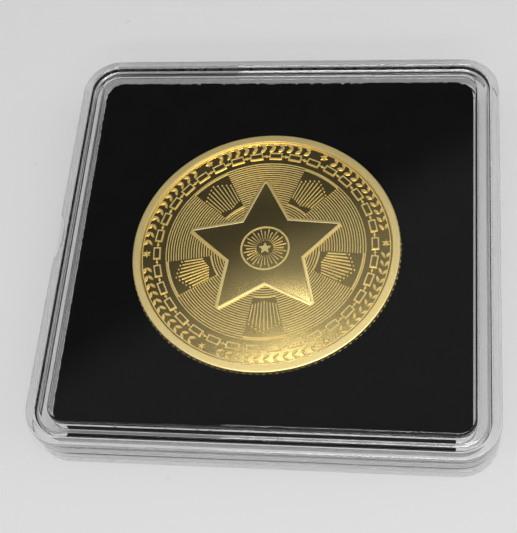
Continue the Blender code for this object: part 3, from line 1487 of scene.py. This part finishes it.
@dataclass
class Medal:
    """The struck medal: turned blank, star in relief, bead-and-reel ring, wreath and reeded edge.

    The steps of a profile are given in millimetres: how far out, how far up and the finish that follows.
    """

    low: Vector = box_corner("coin", 0)
    high: Vector = box_corner("coin", 1)
    turn: float = math.radians(3.9)
    steps: int = 240
    crease: float = 25.0
    blank_crease: float = 28.0
    sink: float = 0.03 * MM
    rim_width: float = 1.3 * MM
    field_depth: float = 0.3 * MM
    groove_steps: Sequence[tuple[float, float, int]] = (
        (-0.42, 0.0, Polish.MIRROR),
        (-0.38, 0.1, Polish.FROST),
        (-0.24, 0.1, Polish.FROST),
        (-0.2, 0.02, Polish.MIRROR),
        (-0.08, 0.02, Polish.FROST),
    )
    rise_steps: Sequence[tuple[float, float, int]] = (
        (0.0, -0.04, Polish.FROST),
        (0.06, 0.0, Polish.FROST),
        (0.1, 0.0, Polish.FROST),
    )
    fall_steps: Sequence[tuple[float, float, int]] = (
        (-0.2, 0.0, Polish.FROST),
        (-0.16, 0.0, Polish.FROST),
        (-0.06, -0.03, Polish.FROST),
        (0.0, -0.12, Polish.FROST),
        (0.0, -0.16, Polish.FROST),
    )
    ridge_pitch: float = 0.38 * MM
    ridge_height: float = 0.06 * MM
    ridge_side: float = 0.09
    ridge_crest: float = 0.3
    ridges_from: float = 5.6 * MM
    ridges_to: float = 15.1 * MM
    ridges_gap: float = 0.1 * MM
    star_plate: float = 0.15 * MM
    star_steps: Sequence[tuple[float, float, int]] = (
        (0.0, -0.05, Polish.FROST),
        (0.06, 0.19, Polish.FROST),
        (0.12, 0.21, Polish.FROST),
        (0.46, 0.21, Polish.FROST),
        (0.53, 0.15, Polish.SATIN),
    )
    window_facets: int = 72
    window_width: float = 0.34 * MM
    window_height: float = 0.07 * MM
    window_slope: float = 0.05 * MM
    rays: int = 32
    ray_height: float = 0.05 * MM
    ray_slope: float = 0.012 * MM
    ray_sink: float = 0.02 * MM
    ray_from: float = 1.25 * MM
    ray_halves: Point2 = (0.03 * MM, 0.09 * MM)
    ray_gaps: Point2 = (0.55 * MM, 0.15 * MM)
    reel_radius: float = 16.2 * MM
    reels: int = 34
    wreath_radius: float = 17.75 * MM
    row_offset: float = 0.37 * MM
    leaf_groups: int = 6
    leaf_gap: float = math.radians(9.0)
    leaf_tilt: float = 0.62
    leaves: int = 11
    fan_radius: float = 11.0 * MM
    fan_from: float = 7.9 * MM
    fan_to: float = 14.7 * MM
    fan_share: float = math.radians(60.0)
    fan_border: float = 0.3 * MM
    fan_spread: float = 0.86
    fan_bars: int = 4
    bar_half: float = 0.095 * MM
    bar_starts: Point2 = (0.75 * MM, 0.16 * MM)
    bar_ends: Point2 = (1.3 * MM, 0.32 * MM)
    bar_bead: float = 0.17 * MM
    bar_bead_gap: float = 0.33 * MM
    reeds: int = 132
    reed_depth: float = 0.12 * MM
    reed_share: float = 0.62
    reed_margin: float = 0.8 * MM
    reed_sink: float = 0.05 * MM

    @property
    def radius(self) -> float:
        """The medal's radius."""
        return (self.high.x - self.low.x) / 2

    @property
    def thickness(self) -> float:
        """The medal's thickness over its rims."""
        return self.high.z - self.low.z

    @property
    def field_height(self) -> float:
        """The height of a field above the medal's own middle plane."""
        return self.thickness / 2 - self.field_depth

    def place(self, piece: Any, reverse: bool = False) -> None:
        """Moves a piece's mesh from the medal's own frame to where the medal lies.

        Args:
            piece: The object.
            reverse: True for what belongs on the lower face.
        """
        matrix = Matrix.Translation((self.low + self.high) / 2) @ Matrix.Rotation(self.turn, 4, "Z")
        if reverse:
            matrix = matrix @ Matrix.Rotation(math.pi, 4, "Y")
        piece.data.transform(matrix)

    def face_profile(self) -> list[tuple[float, float, int]]:
        """The upper face from the middle to the edge: radius, height and the finish that follows."""
        z, top = self.field_height, self.thickness / 2
        rim, edge = self.radius - self.rim_width, self.radius - self.reed_depth
        profile = [(0.0, z, Polish.MIRROR), (self.ridges_from - self.ridges_gap, z, Polish.MIRROR)]
        side, crest = self.ridge_side * self.ridge_pitch, self.ridge_crest * self.ridge_pitch
        for ridge in range(int((self.ridges_to - self.ridges_from) / self.ridge_pitch)):
            r = self.ridges_from + ridge * self.ridge_pitch
            high = z + self.ridge_height
            profile += [(r, z, Polish.FROST), (r + side, high, Polish.FROST)]
            profile += [(r + side + crest, high, Polish.FROST), (r + 2 * side + crest, z, Polish.MIRROR)]
        parts = ((rim, z, self.groove_steps), (rim, top, self.rise_steps), (edge, top, self.fall_steps))
        for start, height, steps in parts:
            profile += [(start + out * MM, height + up * MM, slot) for out, up, slot in steps]
        return profile

    def blank(self, finishes: Sequence[Any]) -> Any:
        """Makes the turned blank with its rims and its fine concentric ridges.

        Args:
            finishes: The material of each polish.

        Returns:
            The finished piece.
        """
        upper = self.face_profile()
        slots = [slot for _, _, slot in upper[:-1]]
        path = [(r, -z) for r, z, _ in upper] + [(r, z) for r, z, _ in reversed(upper)]
        bands = slots + [Polish.FROST] + slots[::-1] + [Polish.MIRROR]
        bm = bmesh.new()
        add_turned(bm, [(r, z, slot) for (r, z), slot in zip(path, bands)], self.steps)
        made = finish_mesh("medal_blank", bm, finishes, sharp=self.blank_crease)
        self.place(made)
        return settle(made, Body.COIN, ["coin"])

    def emblem(self, face: MedalFace, finishes: Sequence[Any], reverse: bool) -> Any:
        """Makes the star of one face, with its raised outline and its window of rays.

        Args:
            face: The face's design.
            finishes: The material of each polish.
            reverse: True for the lower face.

        Returns:
            The finished piece.
        """
        z = self.field_height
        outline = star(face.star_radius, face.star_waist, face.star_points, face.star_tip)
        levels = []
        for depth, up, _ in self.star_steps:
            levels.append([(x, y, z + up * MM) for x, y in inset(outline, depth * MM)])
        bm = bmesh.new()
        add_loft(bm, levels, [slot for _, _, slot in self.star_steps])
        bm.faces.ensure_lookup_table()
        bm.faces[-1].material_index = Polish.SATIN
        self.window(bm, face, z + self.star_plate)
        made = finish_mesh(f"{face.label}_star", bm, finishes, sharp=self.crease)
        self.place(made, reverse)
        return settle(made, Body.COIN)

    def window(self, bm: Any, face: MedalFace, plate: float) -> None:
        """Adds the round frame in the star's middle, and the rays and the small star inside it.

        Args:
            bm: The star's bmesh.
            face: The face's design.
            plate: The height of the star's top.
        """
        outer, inner = face.window, face.window - self.window_width
        profile = [(outer, -self.sink), (outer - self.window_slope, self.window_height)]
        profile += [(inner + self.window_slope, self.window_height), (inner, -self.sink)]
        loops = []
        for radius, lift in profile:
            ring = arc((0, 0), radius, 0, TAU, self.window_facets)[:-1]
            loops.append([bm.verts.new((x, y, plate + lift)) for x, y in ring])
        for band, lower in enumerate(loops):
            upper = loops[(band + 1) % len(loops)]
            for here in range(self.window_facets):
                after = (here + 1) % self.window_facets
                made = bm.faces.new((lower[here], lower[after], upper[after], upper[here]))
                made.material_index = Polish.FROST
        start, (near, far) = self.ray_from, self.ray_halves
        for ray, angle in enumerate(turns(self.rays)):
            reach = inner - self.ray_gaps[ray % 2]
            blade = [(start, -near), (reach, -far), (reach, far), (start, near)]
            points = [tuple(Matrix.Rotation(angle, 2) @ Vector(point)) for point in blade]
            shape = Relief(points, self.ray_height, self.ray_slope)
            shape.add(bm, plate - self.ray_sink, plate, Polish.FROST)
        small = Relief(star(radius=1.05 * MM, waist=0.5 * MM, points=face.star_points), 0.06 * MM, 0.05 * MM)
        small.add(bm, plate - self.ray_sink, plate, Polish.FROST)

    @staticmethod
    def plate(length: float, width: float) -> list[Point2]:
        """The outline of a rectangle whose length lies along Y."""
        x, y = width / 2, length / 2
        return [(x, -y), (x, y), (-x, y), (-x, -y)]

    @staticmethod
    def bar(length: float, width: float, round_by: float, steps: int = 3) -> list[Point2]:
        """The outline of a rounded bar whose length lies along Y."""
        x, y = width / 2 - round_by, length / 2 - round_by
        corners = [(x, -y, -math.pi / 2), (x, y, 0.0), (-x, y, math.pi / 2), (-x, -y, math.pi)]
        outline = []
        for cx, cy, start in corners:
            outline += arc((cx, cy), round_by, start, start + math.pi / 2, steps)
        return outline

    @staticmethod
    def leaf(length: float, width: float, steps: int = 5) -> list[Point2]:
        """The outline of a pointed leaf whose length lies along Y."""
        bulge = (length**2 + width**2) / (4 * width)
        half = math.asin(length / 2 / bulge)
        right = arc((width / 2 - bulge, 0.0), bulge, -half, half, steps)
        left = arc((bulge - width / 2, 0.0), bulge, math.pi - half, math.pi + half, steps)
        return right[:-1] + left[:-1]

    def ring(
        self, tree: GeometryTree, motif: Any, name: str, finish: Any, reverse: bool, **where: Any
    ) -> Any:
        """Repeats a motif round the medal.

        Args:
            tree: The ring group.
            motif: The object, which is used up.
            name: The new object's name.
            finish: Its material.
            reverse: True for the lower face.
            **where: The group's Count, Radius, Start, Span and Tilt.

        Returns:
            The finished piece.
        """
        values = {"Start": 0.0, "Span": TAU, "Tilt": 0.0, "Lift": self.field_height, **where}
        made = tree.grow(motif, name, Material=finish, **values)
        smooth(made.data, self.crease)
        self.place(made, reverse)
        return settle(made, Body.COIN)

    def sector(self, inner: float, outer: float, half_angle: float, steps: int = 10) -> list[Point2]:
        """The outline of a piece of a ring about the medal's middle, seen from the fan's own middle.

        Args:
            inner: Its inner radius.
            outer: Its outer radius.
            half_angle: How far it reaches either side, in radians.
            steps: How many chords each of its arcs has.

        Returns:
            The corners of the outline.
        """
        middle = (-self.fan_radius, 0.0)
        outline = arc(middle, outer, -half_angle, half_angle, steps)
        return outline + arc(middle, inner, half_angle, -half_angle, steps)

    def fan(self, half_angle: float) -> tuple[list[Relief], list[Relief]]:
        """The polished ground of one fan, and the bars and beads that stand on it.

        Args:
            half_angle: How far the ground reaches either side, in radians.

        Returns:
            The ground's reliefs and the frosted ones.
        """
        low, high, border = self.fan_from, self.fan_to, self.fan_border
        ground = [Relief(self.sector(low, high, half_angle), height=0.075 * MM)]
        lines = [
            Relief(self.sector(high - border, high, half_angle), height=0.15 * MM),
            Relief(self.sector(low, low + border, half_angle), height=0.15 * MM),
        ]
        bars, half = self.fan_bars, self.bar_half
        for bar in range(-bars, bars + 1):
            start = low + self.bar_starts[0] + self.bar_starts[1] * abs(bar)
            end = high - self.bar_ends[0] - self.bar_ends[1] * abs(bar)
            corners = [(start, -half), (end, -half), (end, half), (start, half)]
            corners += arc((end + self.bar_bead_gap, 0.0), self.bar_bead, 0, TAU, 8)[:-1]
            lean = Matrix.Rotation(half_angle * self.fan_spread * bar / bars, 2)
            moved = [lean @ Vector(corner) - Vector((self.fan_radius, 0.0)) for corner in corners]
            points = [(point.x, point.y) for point in moved]
            lines.append(Relief(points[:4], height=0.16 * MM, slope=0.03 * MM))
            lines.append(Relief(points[4:], height=0.17 * MM, slope=0.06 * MM))
        return ground, lines

    def ornaments(self, tree: GeometryTree, face: MedalFace, finishes: Sequence[Any], reverse: bool) -> None:
        """Makes the repeated ornaments of one face.

        Args:
            tree: The ring group.
            face: The face's design.
            finishes: The material of each polish.
            reverse: True for the lower face.
        """
        mirror, frost = finishes[Polish.MIRROR], finishes[Polish.FROST]
        reel = {"Count": self.reels, "Radius": self.reel_radius}
        between = {**reel, "Start": TAU / self.reels / 2}
        outline = self.plate(2.05 * MM, 1.15 * MM)
        tablet = Relief(outline, height=0.17 * MM, slope=0.05 * MM, border=0.15 * MM, sunk=0.08 * MM)
        ground = Relief(self.plate(1.66 * MM, 0.76 * MM), height=0.115 * MM, slope=0.02 * MM)
        link = [
            Relief(arc((0, 0), 0.22 * MM, 0, TAU, 12)[:-1], height=0.15 * MM, slope=0.08 * MM),
            Relief(self.bar(0.95 * MM, 0.16 * MM, 0.03 * MM), height=0.1 * MM, slope=0.03 * MM),
        ]
        rows = [
            ("reels", [tablet], frost, reel),
            ("reel_grounds", [ground], mirror, reel),
            ("beads", link, frost, between),
        ]
        share = TAU / self.leaf_groups
        leaf = Relief(self.leaf(1.2 * MM, 0.5 * MM), height=0.2 * MM, slope=0.09 * MM)
        for row, side in enumerate((1, -1)):
            for group in range(self.leaf_groups):
                where = {
                    "Count": self.leaves,
                    "Radius": self.wreath_radius + side * self.row_offset,
                    "Start": group * share + self.leaf_gap,
                    "Span": share - 1.2 * self.leaf_gap,
                    "Tilt": -self.leaf_tilt * side,
                }
                rows.append((f"leaves_{group}_{row}", [leaf], frost, where))
        rosette = Relief(star(0.72 * MM, 0.3 * MM, 6), height=0.2 * MM, slope=0.09 * MM)
        where = {"Count": self.leaf_groups, "Radius": self.wreath_radius}
        rows.append(("rosettes", [rosette], frost, where))
        bed, bars = self.fan(self.fan_share / face.fans)
        start = math.pi / 2 + math.pi / face.fans
        where = {"Count": face.fans, "Radius": self.fan_radius, "Start": start}
        rows += [("fan_grounds", bed, mirror, where), ("fan_bars", bars, frost, where)]
        for name, reliefs, finish, where in rows:
            bm = bmesh.new()
            for relief in reliefs:
                relief.add(bm, -self.sink, 0.0)
            motif = finish_mesh("motif", bm, [], sharp=self.crease)
            self.ring(tree, motif, f"{face.label}_{name}", finish, reverse, **where)

    def edge(self, tree: GeometryTree, frost: Any) -> Any:
        """Makes the reeds of the medal's edge.

        Args:
            tree: The ring group.
            frost: Their material.

        Returns:
            The finished piece.
        """
        width = TAU * self.radius / self.reeds * self.reed_share
        height = self.thickness / 2 - self.reed_margin
        foot = -self.reed_depth - self.reed_sink
        outline = [(foot, -width / 2), (-self.sink, -width / 4), (0.0, 0.0)]
        outline += [(-self.sink, width / 4), (foot, width / 2)]
        bm = bmesh.new()
        add_loft(bm, [[(x, y, z) for x, y in outline] for z in (-height, height)])
        reed = finish_mesh("reed", bm, [])
        where = {"Count": self.reeds, "Radius": self.radius, "Lift": 0.0}
        return self.ring(tree, reed, "edge_reeds", frost, False, **where)

    def build(self, finishes: Sequence[Any]) -> None:
        """Makes the whole medal.

        Args:
            finishes: The material of each polish.
        """
        tree = ring_tree()
        self.blank(finishes)
        self.edge(tree, finishes[Polish.FROST])
        obverse = MedalFace("obverse", 5, 11.8 * MM, 6.2 * MM, 0.034, 3.7 * MM, 5)
        back = MedalFace("reverse", 8, 11.8 * MM, 7.6 * MM, 0.04, 3.9 * MM, 8)
        for face, reverse in ((obverse, False), (back, True)):
            self.emblem(face, finishes, reverse)
            self.ornaments(tree, face, finishes, reverse)


# The studio


@dataclass
class Viewpoint:
    """Where the camera stands, as angles about a point on the table."""

    azimuth: float = math.radians(17.6)
    elevation: float = math.radians(60.9)
    roll: float = math.radians(-14.54)
    distance: float = 182.1 * MM
    target: Vector = field(default_factory=lambda: Vector((-2.85 * MM, -0.98 * MM, 0.0)))
    lens: float = 80.85
    sensor: float = 36.0
    near: float = 0.01

    def build(self) -> None:
        """Makes the camera and makes it the scene's own."""
        flat = math.cos(self.elevation)
        sideways, ahead = math.sin(self.azimuth) * flat, math.cos(self.azimuth) * flat
        back = Vector((sideways, -ahead, math.sin(self.elevation)))
        right = (-back).cross(Vector((0, 0, 1))).normalized()
        up = right.cross(-back)
        across = right * math.cos(self.roll) + up * math.sin(self.roll)
        above = up * math.cos(self.roll) - right * math.sin(self.roll)
        data = bpy.data.cameras.new("camera")
        data.lens = self.lens
        data.sensor_width = self.sensor
        data.clip_start = self.near
        camera = linked("camera", data)
        axes = Matrix((across, above, back)).transposed().to_4x4()
        camera.matrix_world = Matrix.Translation(self.target + back * self.distance) @ axes
        bpy.context.scene.camera = camera


@dataclass(frozen=True)
class Softbox:
    """A soft rectangular lamp that faces the capsule."""

    name: str
    place: tuple[float, float, float]
    size: tuple[float, float]
    power: float
    spin: float = 0.0

    def build(self) -> None:
        """Makes the lamp."""
        data = bpy.data.lights.new(self.name, "AREA")
        data.shape = "RECTANGLE"
        data.size, data.size_y = self.size
        data.energy = self.power
        lamp = linked(self.name, data)
        lamp.location = self.place
        facing = Vector(self.place).to_track_quat("Z", "Y").to_matrix()
        lamp.rotation_euler = (facing @ Matrix.Rotation(self.spin, 3, "Z")).to_euler()


@dataclass
class Studio:
    """The pale table, the room's light and the lamps.

    The room is lit by direction: a dark stretch lies behind the capsule, with a clean edge towards the
    front right. Across is how far a direction leans that way from straight up, as a slope.
    """

    table_size: float = 3.0
    gamma: float = 0.88
    walls: float = 0.2
    shade: float = 0.055
    front: float = 0.6
    middle: float = 0.19
    lean: Point2 = (0.563, -0.826)
    lowest: float = 0.05
    shade_ends: tuple[float, float] = (-0.57, -0.50)
    walls_start: tuple[float, float] = (-1.6, -0.95)
    front_start: tuple[float, float] = (0.5, 1.2)
    lamps: tuple[Softbox, ...] = (
        Softbox("softbox_above", (0.045, -0.066, 0.50), (0.28, 0.26), 1.95, math.radians(-34.3)),
        Softbox("strip_front", (0.12, -0.55, 0.36), (0.60, 0.05), 0.7),
        Softbox("softbox_left", (-0.60, -0.10, 0.35), (0.4, 0.4), 0.5),
        Softbox("softbox_right", (0.60, 0.05, 0.35), (0.4, 0.4), 0.5),
    )

    def room(self) -> None:
        """Makes the world."""
        world = bpy.data.worlds.new("studio_room")
        bpy.context.scene.world = world
        world.use_nodes = True
        nodes = Nodes(world.node_tree)
        direction = nodes.add("ShaderNodeTexCoord").outputs["Generated"]
        parts = nodes.add("ShaderNodeSeparateXYZ", {}, {0: direction}).outputs
        x, y, z = (Signal(nodes, part) for part in parts)
        across = (x * self.lean[0] + y * self.lean[1]) / z.larger(self.lowest)
        near = across.ramp(*self.shade_ends)
        far = 1 - across.ramp(*self.walls_start)
        level = self.shade + (self.middle - self.shade) * near + (self.walls - self.shade) * far
        level = level + (self.front - self.middle) * across.ramp(*self.front_start)
        light = nodes.add("ShaderNodeBackground", {}, {"Color": (1, 1, 1, 1), "Strength": level})
        nodes.add("ShaderNodeOutputWorld", {}, {"Surface": light.outputs[0]})

    def table(self) -> None:
        """Makes the table."""
        bm = bmesh.new()
        bmesh.ops.create_grid(bm, x_segments=1, y_segments=1, size=self.table_size / 2)
        top = finish_mesh("table", bm, [TableTop().build()])

    def build(self) -> None:
        """Makes the table, the room's light and the lamps."""
        self.table()
        self.room()
        for lamp in self.lamps:
            lamp.build()
        bpy.context.scene.view_settings.view_transform = "Standard"
        bpy.context.scene.view_settings.gamma = self.gamma


def main() -> None:
    """Builds the capsule, the insert, the medal and the studio round them."""
    logging.basicConfig(level=logging.INFO, format="%(message)s")
    Viewpoint().build()
    plastic = ClearPlastic("clear_plastic").build()
    # The wall's inner side has the mould's striae and, over them, painted shade that darkens the wall.
    marks_and_painted_shade = ClearPlastic("clear_plastic_marked_painted_shade", roughness=0.2, striae_depth=0.0008 * MM, painted_shade=0.4)
    # Painted shade: a near-black layer over the seam strip, where the gap between lid and base lies in shade.
    painted_seam_shade = ClearPlastic("clear_plastic_painted_seam_shade", roughness=0.2, painted_shade=0.95)
    pressed = ClearPlastic("clear_plastic_pressed", roughness=0.25, striae_depth=0.0004 * MM)
    sizes = CapsuleSizes()
    BaseShell(sizes).build(plastic, marks_and_painted_shade.build(), painted_seam_shade.build())
    LidShell(sizes).build(plastic, pressed.build())
    Insert().build(Velvet().build(), Foam().build(), Lint().build())
    coin = tuple(sum(corners) / 2 for corners in zip(*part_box("coin")))[:2]
    finishes = [
        Gold("gold_mirror", (0.88, 0.70, 0.30), (0.85, 0.67, 0.28), 0.19, 0.03, dome=0.18, middle=coin),
        Gold("gold_satin", (0.88, 0.70, 0.30), (0.85, 0.67, 0.28), 0.2, 0.03, dome=0.066, middle=coin),
        Gold("gold_frost", (0.93, 0.77, 0.38), (0.89, 0.73, 0.34), 0.46, grain_depth=0.01 * MM),
    ]
    Medal().build([finish.build() for finish in finishes])
    Studio().build()


if __name__ == "__main__":
    main()
